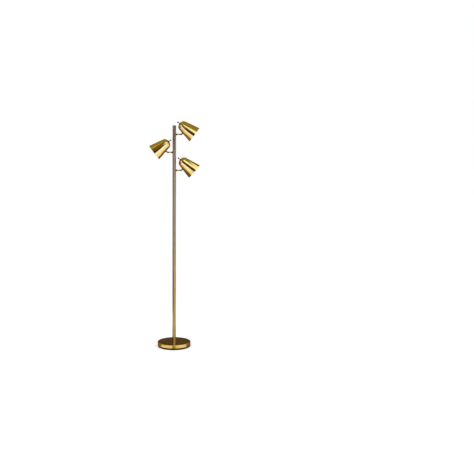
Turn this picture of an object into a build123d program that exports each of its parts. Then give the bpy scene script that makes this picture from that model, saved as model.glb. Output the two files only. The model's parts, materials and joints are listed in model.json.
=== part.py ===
from build123d import *
from math import atan2, cos, degrees, radians, sin, tan
import os

# A tree floor lamp: a weighted round base, a pole in four lengths, and three short arms that each
# carry a conical shade on a knuckle. Lengths are in millimetres and angles in degrees.
# The origin is the middle of the base's underside, on the floor. +Z is up, and +X is the side
# that the upper arm stands out on.

# Base, from the floor up
pad_height = 3
pad_inset = 3  # from the pan's wall
plate_inset = 2  # the pan's wall stays this far inside the cover's outside
plate_wall = 1.5
plate_height = 5.5  # from the pad to the top of the pan's flange
cover_radius = 120
cover_wall = 1
cover_height = 28.5
cover_edge_radius = 4
flange_inset = 0.4  # the pan's flange stays this far inside the cover's outside
weight_gap = 0.5  # between the weight and the pan's wall
weight_thickness = 11  # of the top disc
skirt_width = 14
hub_radius = 22
hub_height = 16
plate_screw_count = 6
plate_screw_radius = 2
plate_screw_head_radius = 3.6
plate_screw_length = 10

# Lead inlet in the base's rear
bush_height = 17  # above the floor
bush_radius = 5
bush_bore_radius = 3.6
bush_flange_radius = 7.5
bush_flange_thickness = 2.2
bush_lip_radius = 6.2
bush_lip_thickness = 2
bush_lip_gap = 0.4  # between the lip and the cover
channel_width = 14

# Pole
lamp_height = 1600  # to the top of the pole's cap
pole_radius = 12.5
pole_wall = 1
section_count = 4
cap_height = 2.5
cap_plug_length = 10
joint_chamfer = 0.4
coupler_length = 44
coupler_bore_radius = 6
coupler_thread_radius = 9
insert_length = 18
plug_length = 26
stud_radius = 6
stud_bore_radius = 3.5
stud_grip = 20  # how far the stud screws into the foot plug
stud_clearance = 0.25
stud_tail = 2  # below the nut
washer_radius = 14
washer_thickness = 2
base_nut_flats = 19
base_nut_thickness = 6

# Arms
first_arm_drop = 63  # from the top of the cap
arm_spacing = 127
arm_radius = 4.5
arm_wall = 1.3
arm_tail = 0.6  # of the tube, past the nut inside the pole
collar_wall = 1.05
collar_flange_width = 1.9
collar_flange_height = 2  # out from the pole
collar_length = 8  # out from the pole
collar_tail = 2.9  # inside the pole's bore
running_clearance = 0.05  # round the arm, the pivot screw and the switch spindle
end_play = 0.2
shoulder_width = 1.7
stop_height = 1.6  # of the tabs that stop the arm's turn
stop_half_angle = 5
arm_nut_wall = 1.9
arm_nut_thickness = 3.4

# Knuckle
pivot_stand_off = 36  # from the pole's face
fork_lip = 1.1  # the fork stands out this far past the arm tube
fork_shank = 9  # from the end of the arm tube to the pivot
fork_spigot_length = 10
fork_half_width = 4.9  # from the middle to the flat under the screw's head
fork_lead_bore_radius = 1.8
slot_depth = 7.8  # behind the pivot
tongue_thickness = 4.5
tongue_radius = 5.2
tongue_reach = 12  # from the pivot to the outside of the shade
tongue_neck_radius = 4.2
tongue_neck_gap = 0.6  # between the neck and the fork's rounded cheeks
tongue_flange_radius = 6.5
tongue_flange_thickness = 2
tongue_thread_radius = 3
tongue_thread_length = 7.5  # inside the shade's outer surface
tongue_lead_bore_radius = 1.6
pivot_screw_radius = 2
pivot_head_radius = 3.6
pivot_head_thickness = 1.8
pivot_slot_width = 0.9
stem_nut_flats = 10
stem_nut_thickness = 3.4

# Shade, measured along its axis from the mouth
mouth_radius = 58.5
shoulder_radius = 32.4
shoulder_height = 124
shade_length = 131
crown_flat_radius = 8
shoulder_fillet = 30
shade_wall = 0.9
attach_height = 74  # where the knuckle meets the wall
hole_clearance = 0.15  # round the tongue's thread and the holder's

# Lamp holder, switch and bulb, on the shade's axis
holder_thread_radius = 5
holder_thread_length = 2.8  # outside the shade
holder_neck_radius = 7.5
holder_neck_length = 6
holder_shoulder_length = 4
holder_radius = 19
holder_length = 46
spindle_radius = 2
spindle_reach = 14  # into the holder, from the crown's inner side
switch_nut_flats = 13
switch_nut_thickness = 2.4
knob_gap = 10  # from the crown to the knob
knob_length = 10
knob_radius = 5
flute_count = 8
flute_radius = 0.9
bulb_cap_radius = 13.2
bulb_cap_length = 24
bulb_cap_cone = 5
bulb_contact_radius = 5
bulb_cap_clearance = 2  # between the cap's contact and the socket's floor
bulb_neck_radius = 14.5
bulb_radius = 25
bulb_cone_length = 30
bulb_rim_length = 8
lens_radius = 23
lens_seat_depth = 4
lens_height = 2  # in front of the bulb's rim

# The three heads: the side of the pole that each is on, its place from the top, and how far its
# shade's axis dips below level.
heads = {
    "upper": {"side": 1, "place": 0, "dip": 36.5},
    "middle": {"side": -1, "place": 1, "dip": 37.5},
    "lower": {"side": 1, "place": 2, "dip": 40},
}

# Levels and sizes that follow from the values above
plate_radius = cover_radius - plate_inset
pad_radius = plate_radius - pad_inset
plate_floor = pad_height + plate_wall
cover_foot = pad_height + plate_height
cover_top = cover_foot + cover_height
weight_top = cover_top - cover_wall
weight_radius = plate_radius - plate_wall - weight_gap
skirt_radius = weight_radius - skirt_width
disc_foot = weight_top - weight_thickness
screw_circle_radius = weight_radius - skirt_width / 2
screw_head_taper = degrees(atan2(plate_screw_head_radius - plate_screw_radius, plate_wall))
hub_foot = weight_top - hub_height
nut_top = hub_foot - washer_thickness
nut_foot = nut_top - base_nut_thickness
stud_hole_radius = stud_radius + stud_clearance
pole_bore_radius = pole_radius - pole_wall
pole_top = lamp_height - cap_height
section_length = (pole_top - cover_top) / section_count
joint_levels = [cover_top + section_length * count for count in range(1, section_count)]
arm_bore_radius = arm_radius - arm_wall
arm_nut_radius = arm_radius + arm_nut_wall
collar_bore_radius = arm_radius + running_clearance
collar_radius = collar_bore_radius + collar_wall
collar_flange_radius = collar_radius + collar_flange_width
collar_face = pole_radius + collar_length
collar_inner_reach = pole_bore_radius - collar_tail
arm_shoulder = collar_face + end_play
pivot_reach = pole_radius + pivot_stand_off
arm_end = pivot_reach - fork_shank
fork_radius = arm_radius + fork_lip
arm_nut_face = collar_inner_reach - end_play - stop_height
arm_inner_end = arm_nut_face - arm_nut_thickness - arm_tail
tongue_neck = fork_radius + tongue_neck_gap
tongue_flange = tongue_reach - tongue_flange_thickness
tongue_thread_end = tongue_reach + tongue_thread_length
wall_slope = degrees(atan2(mouth_radius - shoulder_radius, shoulder_height))
attach_radius = mouth_radius - attach_height * tan(radians(wall_slope))
crown_inside = shade_length - shade_wall
holder_back = crown_inside - holder_neck_length - holder_shoulder_length
holder_face = holder_back - holder_length
spindle_end = crown_inside - spindle_reach
socket_floor = holder_face + bulb_cap_length + bulb_cap_clearance
bulb_rim = holder_face - bulb_cone_length
bulb_face = bulb_rim - bulb_rim_length
lens_seat = bulb_face + lens_seat_depth

os.makedirs("parts", exist_ok=True)


def write_piece(piece, name):
    piece.part.label = name
    export_step(piece.part, f"parts/{name}.step")


# Frames. An arm's frame has X out along the arm from the pole's axis, and Y up. A knuckle's has
# its origin on the pivot and X along the tongue, towards the shade. A shade's has its origin in
# the mouth, X straight away from the knuckle, and Y along the shade's axis to its closed end.


def arm_frame(head):
    level = lamp_height - first_arm_drop - arm_spacing * head["place"]
    return Plane(origin=(0, 0, level), x_dir=(head["side"], 0, 0), z_dir=(0, -head["side"], 0))


def turned_frame(frame, place, angle):
    turned_x = frame.x_dir.rotate(Axis((0, 0, 0), frame.z_dir), angle)
    return Plane(origin=frame.from_local_coords(place), x_dir=turned_x, z_dir=frame.z_dir)


def knuckle_frame(head):
    tongue_angle = 90 - wall_slope - head["dip"]
    return turned_frame(arm_frame(head), (pivot_reach, 0, 0), tongue_angle)


def shade_frame(head):
    slope = radians(wall_slope)
    across = tongue_reach + attach_radius * cos(slope) + attach_height * sin(slope)
    along = attach_radius * sin(slope) - attach_height * cos(slope)
    return turned_frame(knuckle_frame(head), (across, along, 0), wall_slope)


def square_to_x(frame, reach):
    # the plane square to the frame's X axis at that reach, facing outward
    origin = frame.from_local_coords((reach, 0, 0))
    return Plane(origin=origin, x_dir=frame.y_dir, z_dir=frame.x_dir)


def square_to_y(frame, height):
    # the plane square to the frame's Y axis at that height, facing along it
    origin = frame.from_local_coords((0, height, 0))
    return Plane(origin=origin, x_dir=frame.x_dir, z_dir=frame.y_dir)


# Base


def make_base_pad():
    with BuildPart() as pad:
        with BuildSketch():
            Circle(pad_radius)
        extrude(amount=pad_height)
    return pad


def make_base_plate():
    # a pressed pan, whose flange carries the cover's edge
    wall_inside = plate_radius - plate_wall
    flange_radius = cover_radius - flange_inset
    with BuildPart() as plate:
        with BuildSketch(Plane.XZ):
            with BuildLine():
                Polyline(
                    (0, pad_height),
                    (plate_radius, pad_height),
                    (plate_radius, cover_foot - plate_wall),
                    (flange_radius, cover_foot - plate_wall),
                    (flange_radius, cover_foot),
                    (wall_inside, cover_foot),
                    (wall_inside, plate_floor),
                    (0, plate_floor),
                    close=True,
                )
            make_face()
        revolve(axis=Axis.Z)
        with BuildSketch(Plane.XY.offset(pad_height)):
            with PolarLocations(screw_circle_radius, plate_screw_count):
                Circle(plate_screw_head_radius)
        extrude(amount=plate_wall, taper=screw_head_taper, mode=Mode.SUBTRACT)
    return plate


def make_plate_screws():
    with BuildPart() as screws:
        with BuildSketch(Plane.XY.offset(pad_height)):
            with PolarLocations(screw_circle_radius, plate_screw_count):
                Circle(plate_screw_head_radius)
        extrude(amount=plate_wall, taper=screw_head_taper)
        with BuildSketch(Plane.XY.offset(plate_floor)):
            with PolarLocations(screw_circle_radius, plate_screw_count):
                Circle(plate_screw_radius)
        extrude(amount=plate_screw_length)
    return screws


def make_base_weight():
    # an iron casting: a disc, a skirt that stands in the pan, and a hub that the nut pulls on
    with BuildPart() as weight:
        with BuildSketch(Plane.XZ):
            with BuildLine():
                Polyline(
                    (stud_hole_radius, weight_top),
                    (weight_radius, weight_top),
                    (weight_radius, plate_floor),
                    (skirt_radius, plate_floor),
                    (skirt_radius, disc_foot),
                    (hub_radius, disc_foot),
                    (hub_radius, hub_foot),
                    (stud_hole_radius, hub_foot),
                    close=True,
                )
            make_face()
        revolve(axis=Axis.Z)
        top_edges = weight.edges().group_by(Axis.Z)[-1]
        chamfer(top_edges.sort_by(SortBy.RADIUS)[-1], cover_edge_radius / 2)
        with BuildSketch(Plane.XY.offset(plate_floor)):
            with PolarLocations(screw_circle_radius, plate_screw_count):
                Circle(plate_screw_radius)
        extrude(amount=plate_screw_length, mode=Mode.SUBTRACT)
        # the lead's way out through the skirt
        with BuildSketch(Plane.XY.offset(plate_floor)):
            with Locations((0, screw_circle_radius)):
                Rectangle(channel_width, 2 * skirt_width)
        extrude(amount=disc_foot - plate_floor, mode=Mode.SUBTRACT)
    return weight


def make_base_cover():
    # spun from sheet, open below
    with BuildPart() as cover:
        with BuildSketch(Plane.XY.offset(cover_foot)):
            Circle(cover_radius)
        extrude(amount=cover_height)
        fillet(cover.edges().group_by(Axis.Z)[-1], cover_edge_radius)
        offset(amount=-cover_wall, openings=cover.faces().sort_by(Axis.Z)[0])
        with BuildSketch(Plane.XY.offset(weight_top)):
            Circle(stud_hole_radius)
        extrude(amount=cover_wall, mode=Mode.SUBTRACT)
        with BuildSketch(Plane.XZ.offset(-cover_radius)):
            with Locations((0, bush_height)):
                Circle(bush_radius)
        extrude(amount=skirt_width, mode=Mode.SUBTRACT)
    return cover


def make_cord_bush():
    # snapped into the cover: a flange bent to the cover's curve, a barrel, and a lip inside
    outer_face = cover_radius + bush_flange_thickness
    lip_face = cover_radius - cover_wall - bush_lip_gap
    lip_end = lip_face - bush_lip_thickness
    with BuildPart() as bush:
        with BuildSketch(Plane.XZ.offset(-outer_face)):
            with Locations((0, bush_height)):
                Circle(bush_flange_radius)
        extrude(amount=2 * bush_flange_thickness)
        chamfer(bush.edges().group_by(Axis.Y)[-1], bush_flange_thickness / 4)
        with BuildSketch():
            Circle(cover_radius)
        extrude(amount=cover_top, mode=Mode.SUBTRACT)
        with BuildSketch(Plane.XZ.offset(-cover_radius)):
            with Locations((0, bush_height)):
                Circle(bush_radius)
        extrude(amount=cover_radius - lip_end)
        with BuildSketch(Plane.XZ.offset(-lip_face)):
            with Locations((0, bush_height)):
                Circle(bush_lip_radius)
        extrude(amount=bush_lip_thickness)
        with BuildSketch(Plane.XZ.offset(-outer_face)):
            with Locations((0, bush_height)):
                Circle(bush_bore_radius)
        extrude(amount=outer_face - lip_end, mode=Mode.SUBTRACT)
    return bush


def make_base_stud():
    stud_foot = nut_foot - stud_tail
    with BuildPart() as stud:
        with BuildSketch(Plane.XY.offset(stud_foot)):
            Circle(stud_radius)
            Circle(stud_bore_radius, mode=Mode.SUBTRACT)
        extrude(amount=cover_top + stud_grip - stud_foot)
    return stud


def make_base_washer():
    with BuildPart() as washer:
        with BuildSketch(Plane.XY.offset(nut_top)):
            Circle(washer_radius)
            Circle(stud_hole_radius, mode=Mode.SUBTRACT)
        extrude(amount=washer_thickness)
    return washer


def make_base_nut():
    with BuildPart() as nut:
        with BuildSketch(Plane.XY.offset(nut_foot)):
            RegularPolygon(base_nut_flats / 2, 6, major_radius=False)
            Circle(stud_radius, mode=Mode.SUBTRACT)
        extrude(amount=base_nut_thickness)
    return nut


def make_foot_plug():
    with BuildPart() as plug:
        with BuildSketch(Plane.XY.offset(cover_top)):
            Circle(pole_bore_radius)
            Circle(stud_radius, mode=Mode.SUBTRACT)
        extrude(amount=plug_length)
    return plug


# Pole


def make_pole_section(number):
    foot = cover_top + section_length * number
    with BuildPart() as section:
        with BuildSketch(Plane.XY.offset(foot)):
            Circle(pole_radius)
            Circle(pole_bore_radius, mode=Mode.SUBTRACT)
        extrude(amount=section_length)
        # a fine bevel at each end shows where the lengths meet
        chamfer(section.edges().filter_by(GeomType.CIRCLE).sort_by(SortBy.RADIUS)[-2:], joint_chamfer)
        for head in heads.values():
            arm = arm_frame(head)
            if foot < arm.origin.Z < foot + section_length:
                with BuildSketch(square_to_x(arm, 0)):
                    Circle(collar_radius)
                extrude(amount=collar_face, mode=Mode.SUBTRACT)
    return section


def make_pole_couplers():
    # pressed into the top of each lower length, with a thread that stands up into the next
    with BuildPart() as couplers:
        for level in joint_levels:
            with BuildSketch(Plane.XY.offset(level - coupler_length / 2)):
                Circle(pole_bore_radius)
                Circle(coupler_bore_radius, mode=Mode.SUBTRACT)
            extrude(amount=coupler_length / 2)
            with BuildSketch(Plane.XY.offset(level)):
                Circle(coupler_thread_radius)
                Circle(coupler_bore_radius, mode=Mode.SUBTRACT)
            extrude(amount=coupler_length / 2)
    return couplers


def make_pole_inserts():
    # pressed into the foot of each upper length, and screwed down onto the couplers
    with BuildPart() as inserts:
        for level in joint_levels:
            with BuildSketch(Plane.XY.offset(level)):
                Circle(pole_bore_radius)
                Circle(coupler_thread_radius, mode=Mode.SUBTRACT)
            extrude(amount=insert_length)
    return inserts


def make_pole_cap():
    with BuildPart() as cap:
        with BuildSketch(Plane.XY.offset(pole_top)):
            Circle(pole_radius)
        extrude(amount=cap_height)
        chamfer(cap.edges().group_by(Axis.Z)[-1], cap_height / 3)
        with BuildSketch(Plane.XY.offset(pole_top - cap_plug_length)):
            Circle(pole_bore_radius)
        extrude(amount=cap_plug_length)
    return cap


# Arms


def stop_tab(frame, reach, middle_angle):
    # the end view of a stop tab: a short sector that is as deep as the collar's wall
    edge_reach = 2 * collar_radius
    edge_angles = [radians(middle_angle + turn) for turn in (-stop_half_angle, stop_half_angle)]
    corners = [(edge_reach * cos(angle), edge_reach * sin(angle)) for angle in edge_angles]
    with BuildSketch(square_to_x(frame, reach)) as tab:
        Circle(collar_radius)
        Circle(collar_bore_radius, mode=Mode.SUBTRACT)
        with BuildLine():
            Polyline((0, 0), *corners, close=True)
        make_face(mode=Mode.INTERSECT)
    return tab.sketch


def make_arm_collars():
    with BuildPart() as collars:
        for head in heads.values():
            with BuildSketch(square_to_x(arm_frame(head), 0)):
                Circle(collar_flange_radius)
            extrude(amount=pole_radius + collar_flange_height)
        # the flanges' saddles, which sit on the pole
        with BuildSketch():
            Circle(pole_radius)
        extrude(amount=lamp_height, mode=Mode.SUBTRACT)
        for head in heads.values():
            arm = arm_frame(head)
            with BuildSketch(square_to_x(arm, collar_inner_reach)):
                Circle(collar_radius)
            extrude(amount=collar_face - collar_inner_reach)
            with BuildSketch(square_to_x(arm, collar_inner_reach)):
                Circle(collar_bore_radius)
            extrude(amount=collar_face - collar_inner_reach, mode=Mode.SUBTRACT)
            extrude(stop_tab(arm, collar_inner_reach - stop_height, 180), amount=stop_height)
    return collars


def make_arm_tube(head):
    arm = arm_frame(head)
    with BuildPart() as tube:
        with BuildSketch(arm):
            with BuildLine():
                Polyline(
                    (arm_inner_end, arm_bore_radius),
                    (arm_inner_end, arm_radius),
                    (arm_shoulder, arm_radius),
                    (arm_shoulder, collar_radius),
                    (arm_shoulder + shoulder_width, collar_radius),
                    (arm_shoulder + shoulder_width, arm_radius),
                    (arm_end, arm_radius),
                    (arm_end, arm_bore_radius),
                    close=True,
                )
            make_face()
        revolve(axis=Axis(arm.origin, arm.x_dir))
    return tube


def make_arm_nut(head):
    # on the arm's thread inside the pole, with a tab that meets the collar's at the turn's ends
    arm = arm_frame(head)
    with BuildPart() as nut:
        with BuildSketch(square_to_x(arm, arm_nut_face - arm_nut_thickness)):
            Circle(arm_nut_radius)
            Circle(arm_radius, mode=Mode.SUBTRACT)
        extrude(amount=arm_nut_thickness)
        extrude(stop_tab(arm, arm_nut_face, 0), amount=stop_height)
    return nut


# Knuckles


def make_knuckle_fork(head):
    arm = arm_frame(head)
    cheeks = turned_frame(arm, (pivot_reach, 0, 0), 0)
    spigot_end = arm_end - fork_spigot_length
    slot_half_width = tongue_thickness / 2 + running_clearance
    with BuildPart() as fork:
        with BuildSketch(square_to_x(arm, arm_end)):
            Circle(fork_radius)
        extrude(amount=fork_shank + fork_radius)
        # flat on both sides, and rounded about the pivot
        with BuildSketch(cheeks):
            Circle(fork_radius)
            Rectangle(fork_shank, 2 * fork_radius, align=(Align.MAX, Align.CENTER))
        extrude(amount=fork_half_width, both=True, mode=Mode.INTERSECT)
        with BuildSketch(square_to_x(arm, spigot_end)):
            Circle(arm_bore_radius)
        extrude(amount=fork_spigot_length)
        # the slot that the tongue turns in, with the lead's bore behind it
        with BuildSketch(cheeks):
            Rectangle(slot_depth, 2 * fork_radius, align=(Align.MAX, Align.CENTER))
            Rectangle(fork_radius, 2 * fork_radius, align=(Align.MIN, Align.CENTER))
        extrude(amount=slot_half_width, both=True, mode=Mode.SUBTRACT)
        with BuildSketch(square_to_x(arm, spigot_end)):
            Circle(fork_lead_bore_radius)
        extrude(amount=pivot_reach - slot_depth - spigot_end, mode=Mode.SUBTRACT)
        with BuildSketch(cheeks):
            Circle(pivot_screw_radius)
        extrude(amount=fork_half_width, both=True, mode=Mode.SUBTRACT)
    return fork


def make_knuckle_screw(head):
    # a slotted screw, its head on the cheek that faces the lamp's front, threaded in the other
    pivot = Plane(origin=knuckle_frame(head).origin, x_dir=(1, 0, 0), z_dir=(0, -1, 0))
    with BuildPart() as screw:
        with BuildSketch(pivot.offset(-fork_half_width)):
            Circle(pivot_screw_radius)
        extrude(amount=2 * fork_half_width)
        with BuildSketch(pivot.offset(fork_half_width)):
            Circle(pivot_head_radius)
        extrude(amount=pivot_head_thickness)
        with BuildSketch(pivot.offset(fork_half_width + pivot_head_thickness / 2)):
            Rectangle(pivot_slot_width, 2 * pivot_head_radius)
        extrude(amount=pivot_head_thickness, mode=Mode.SUBTRACT)
    return screw


def shade_cone(shade, inset):
    # half of the section of the shade's cone, that far inside its outer surface
    narrower = inset / cos(radians(wall_slope))
    with BuildSketch(shade) as section:
        with BuildLine():
            Polyline(
                (0, 0),
                (mouth_radius - narrower, 0),
                (shoulder_radius - narrower, shoulder_height),
                (0, shoulder_height),
                close=True,
            )
        make_face()
    return section.sketch


def make_knuckle_tongue(head):
    knuckle = knuckle_frame(head)
    shade = shade_frame(head)
    lead_entry = (tongue_neck + tongue_flange) / 2
    with BuildPart() as tongue:
        # the flange, dished to sit on the shade's wall
        with BuildSketch(square_to_x(knuckle, tongue_flange)):
            Circle(tongue_flange_radius)
        extrude(amount=2 * tongue_flange_thickness)
        revolve(shade_cone(shade, 0), axis=Axis(shade.origin, shade.y_dir), mode=Mode.SUBTRACT)
        with BuildSketch(square_to_x(knuckle, tongue_neck)):
            Circle(tongue_neck_radius)
        extrude(amount=tongue_flange - tongue_neck)
        with BuildSketch(square_to_x(knuckle, tongue_flange)):
            Circle(tongue_thread_radius)
        extrude(amount=tongue_thread_end - tongue_flange)
        # the plate that turns between the cheeks
        with BuildSketch(knuckle):
            Circle(tongue_radius)
            Rectangle(tongue_neck, 2 * tongue_neck_radius, align=(Align.MIN, Align.CENTER))
        extrude(amount=tongue_thickness / 2, both=True)
        with BuildSketch(knuckle):
            Circle(pivot_screw_radius + running_clearance)
        extrude(amount=tongue_thickness / 2, both=True, mode=Mode.SUBTRACT)
        # the lead's bore, which starts under the neck
        with BuildSketch(square_to_x(knuckle, lead_entry)):
            Circle(tongue_lead_bore_radius)
        extrude(amount=tongue_thread_end - lead_entry, mode=Mode.SUBTRACT)
        with BuildSketch(square_to_y(knuckle, -tongue_neck_radius)):
            with Locations((lead_entry, 0)):
                Circle(tongue_lead_bore_radius)
        extrude(amount=tongue_neck_radius, mode=Mode.SUBTRACT)
    return tongue


def make_stem_nut(head):
    # on the tongue's thread, domed to sit inside the shade's wall
    knuckle = knuckle_frame(head)
    shade = shade_frame(head)
    with BuildPart() as nut:
        with BuildSketch(square_to_x(knuckle, tongue_reach)):
            RegularPolygon(stem_nut_flats / 2, 6, major_radius=False)
            Circle(tongue_thread_radius, mode=Mode.SUBTRACT)
        extrude(amount=shade_wall + stem_nut_thickness)
        inside = shade_cone(shade, shade_wall)
        revolve(inside, axis=Axis(shade.origin, shade.y_dir), mode=Mode.INTERSECT)
    return nut


# Shades and what is on their axes


def make_shade(head):
    # spun: a straight cone, a well-rounded shoulder, and a shallow crown with a flat in its middle
    knuckle = knuckle_frame(head)
    shade = shade_frame(head)
    with BuildPart() as shell:
        with BuildSketch(shade):
            with BuildLine():
                Polyline(
                    (0, 0),
                    (mouth_radius, 0),
                    (shoulder_radius, shoulder_height),
                    (crown_flat_radius, shade_length),
                    (0, shade_length),
                    close=True,
                )
            make_face()
        revolve(axis=Axis(shade.origin, shade.y_dir))
        along_axis = Axis(shade.origin, shade.y_dir)
        shoulder = shell.edges().filter_by(GeomType.CIRCLE).sort_by(along_axis)[1]
        fillet(shoulder, shoulder_fillet)
        offset(amount=-shade_wall, openings=shell.faces().sort_by(along_axis)[0])
        with BuildSketch(square_to_x(knuckle, tongue_flange)):
            Circle(tongue_thread_radius + hole_clearance)
        extrude(amount=tongue_thread_end - tongue_flange, mode=Mode.SUBTRACT)
        with BuildSketch(square_to_y(shade, crown_inside)):
            Circle(holder_thread_radius + hole_clearance)
        extrude(amount=shade_wall, mode=Mode.SUBTRACT)
    return shell


def make_lamp_holder(head):
    # its thread passes through the crown, and the spindle turns in the thread's bore
    shade = shade_frame(head)
    thread_end = shade_length + holder_thread_length
    bore_radius = spindle_radius + running_clearance
    with BuildPart() as holder:
        with BuildSketch(shade):
            with BuildLine():
                Polyline(
                    (0, socket_floor),
                    (bulb_cap_radius, socket_floor),
                    (bulb_cap_radius, holder_face),
                    (holder_radius, holder_face),
                    (holder_radius, holder_back),
                    (holder_neck_radius, crown_inside - holder_neck_length),
                    (holder_neck_radius, crown_inside),
                    (holder_thread_radius, crown_inside),
                    (holder_thread_radius, thread_end),
                    (bore_radius, thread_end),
                    (bore_radius, spindle_end - end_play),
                    (0, spindle_end - end_play),
                    close=True,
                )
            make_face()
        revolve(axis=Axis(shade.origin, shade.y_dir))
    return holder


def make_switch_nut(head):
    with BuildPart() as nut:
        with BuildSketch(square_to_y(shade_frame(head), shade_length)):
            RegularPolygon(switch_nut_flats / 2, 6, major_radius=False)
            Circle(holder_thread_radius, mode=Mode.SUBTRACT)
        extrude(amount=switch_nut_thickness)
    return nut


def make_switch_knob(head):
    # a fluted knob, with the spindle that works the switch
    shade = shade_frame(head)
    knob_foot = shade_length + knob_gap
    with BuildPart() as knob:
        with BuildSketch(square_to_y(shade, knob_foot)):
            Circle(knob_radius)
            with PolarLocations(knob_radius, flute_count):
                Circle(flute_radius, mode=Mode.SUBTRACT)
        extrude(amount=knob_length)
        with BuildSketch(square_to_y(shade, spindle_end)):
            Circle(spindle_radius)
        extrude(amount=knob_foot - spindle_end)
    return knob


def make_bulb_cap(head):
    shade = shade_frame(head)
    cap_end = holder_face + bulb_cap_length
    with BuildPart() as cap:
        with BuildSketch(shade):
            with BuildLine():
                Polyline(
                    (0, holder_face),
                    (bulb_cap_radius, holder_face),
                    (bulb_cap_radius, cap_end - bulb_cap_cone),
                    (bulb_contact_radius, cap_end),
                    (0, cap_end),
                    close=True,
                )
            make_face()
        revolve(axis=Axis(shade.origin, shade.y_dir))
    return cap


def make_bulb_body(head):
    shade = shade_frame(head)
    with BuildPart() as body:
        with BuildSketch(shade):
            with BuildLine():
                Polyline(
                    (0, holder_face),
                    (bulb_neck_radius, holder_face),
                    (bulb_radius, bulb_rim),
                    (bulb_radius, bulb_face),
                    (lens_radius, bulb_face),
                    (lens_radius, lens_seat),
                    (0, lens_seat),
                    close=True,
                )
            make_face()
        revolve(axis=Axis(shade.origin, shade.y_dir))
    return body


def make_bulb_lens(head):
    shade = shade_frame(head)
    with BuildPart() as lens:
        with BuildSketch(square_to_y(shade, bulb_face - lens_height)):
            Circle(lens_radius)
        extrude(amount=lens_seat_depth + lens_height)
        chamfer(lens.edges().sort_by(Axis(shade.origin, shade.y_dir))[0], lens_height)
    return lens


write_piece(make_base_pad(), "base_pad")
write_piece(make_base_plate(), "base_plate")
write_piece(make_plate_screws(), "plate_screws")
write_piece(make_base_weight(), "base_weight")
write_piece(make_base_cover(), "base_cover")
write_piece(make_cord_bush(), "cord_bush")
write_piece(make_base_stud(), "base_stud")
write_piece(make_base_washer(), "base_washer")
write_piece(make_base_nut(), "base_nut")
write_piece(make_foot_plug(), "foot_plug")

for number, section_name in enumerate(["lower", "middle_lower", "middle_upper", "upper"]):
    write_piece(make_pole_section(number), f"pole_{section_name}")
write_piece(make_pole_couplers(), "pole_couplers")
write_piece(make_pole_inserts(), "pole_inserts")
write_piece(make_pole_cap(), "pole_cap")
write_piece(make_arm_collars(), "arm_collars")

for head_name, head in heads.items():
    write_piece(make_arm_tube(head), f"{head_name}_arm_tube")
    write_piece(make_arm_nut(head), f"{head_name}_arm_nut")
    write_piece(make_knuckle_fork(head), f"{head_name}_knuckle_fork")
    write_piece(make_knuckle_screw(head), f"{head_name}_knuckle_screw")
    write_piece(make_knuckle_tongue(head), f"{head_name}_knuckle_tongue")
    write_piece(make_stem_nut(head), f"{head_name}_stem_nut")
    write_piece(make_shade(head), f"{head_name}_shade")
    write_piece(make_lamp_holder(head), f"{head_name}_lamp_holder")
    write_piece(make_switch_nut(head), f"{head_name}_switch_nut")
    write_piece(make_switch_knob(head), f"{head_name}_switch_knob")
    write_piece(make_bulb_cap(head), f"{head_name}_bulb_cap")
    write_piece(make_bulb_body(head), f"{head_name}_bulb_body")
    write_piece(make_bulb_lens(head), f"{head_name}_bulb_lens")
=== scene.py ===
import bmesh
import bpy
import json
from contextlib import contextmanager
from math import acos, atan2, cos, pi, radians, sin, tan
from mathutils import Matrix, Vector


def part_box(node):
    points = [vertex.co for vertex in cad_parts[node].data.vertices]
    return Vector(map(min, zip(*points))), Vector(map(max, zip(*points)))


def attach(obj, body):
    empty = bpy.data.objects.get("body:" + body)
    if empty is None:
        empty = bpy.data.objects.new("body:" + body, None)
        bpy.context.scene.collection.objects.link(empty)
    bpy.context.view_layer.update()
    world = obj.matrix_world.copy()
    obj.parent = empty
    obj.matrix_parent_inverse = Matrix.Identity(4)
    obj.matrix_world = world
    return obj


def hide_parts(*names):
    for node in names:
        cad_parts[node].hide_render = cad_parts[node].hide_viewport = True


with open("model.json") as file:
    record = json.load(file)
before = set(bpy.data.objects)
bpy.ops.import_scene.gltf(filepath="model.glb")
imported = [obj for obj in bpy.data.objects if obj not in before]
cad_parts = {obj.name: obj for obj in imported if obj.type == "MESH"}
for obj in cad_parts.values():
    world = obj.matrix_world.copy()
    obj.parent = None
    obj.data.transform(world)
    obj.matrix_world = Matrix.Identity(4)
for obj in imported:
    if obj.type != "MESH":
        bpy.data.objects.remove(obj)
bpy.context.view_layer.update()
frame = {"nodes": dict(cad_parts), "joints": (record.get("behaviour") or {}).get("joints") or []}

# Places and lengths are in metres. The lamp's own pieces have their sizes in the dictionaries above them, in
# millimetres.
mm = 0.001
heads = ["upper", "middle", "lower"]
joints = {joint["name"]: joint for joint in frame["joints"]}


def wire(tree, node, inputs):
    # links an input that is given a socket, and sets one that is given a value
    for key, value in inputs.items():
        if isinstance(value, bpy.types.NodeSocket):
            tree.links.new(value, node.inputs[key])
        else:
            node.inputs[key].default_value = value


def put(tree, kind, inputs=None, **settings):
    # adds a node; its settings come first, because they decide which inputs it has
    node = tree.nodes.new(kind)
    for name, value in settings.items():
        setattr(node, name, value)
    wire(tree, node, inputs or {})
    return node


def calc(tree, operation, *values):
    return put(tree, "ShaderNodeMath", dict(enumerate(values)), operation=operation).outputs[0]


def mapRange(tree, value, fromMin, fromMax, toMin=0.0, toMax=1.0, smooth=False):
    inputs = {"Value": value, "From Min": fromMin, "From Max": fromMax, "To Min": toMin, "To Max": toMax}
    kind = "SMOOTHSTEP" if smooth else "LINEAR"
    return put(tree, "ShaderNodeMapRange", inputs, interpolation_type=kind).outputs[0]


def noise(tree, vector, scale, detail, roughness=0.5, distortion=0.0):
    inputs = {"Vector": vector, "Scale": scale, "Detail": detail, "Roughness": roughness}
    return put(tree, "ShaderNodeTexNoise", {**inputs, "Distortion": distortion}).outputs[0]


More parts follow.
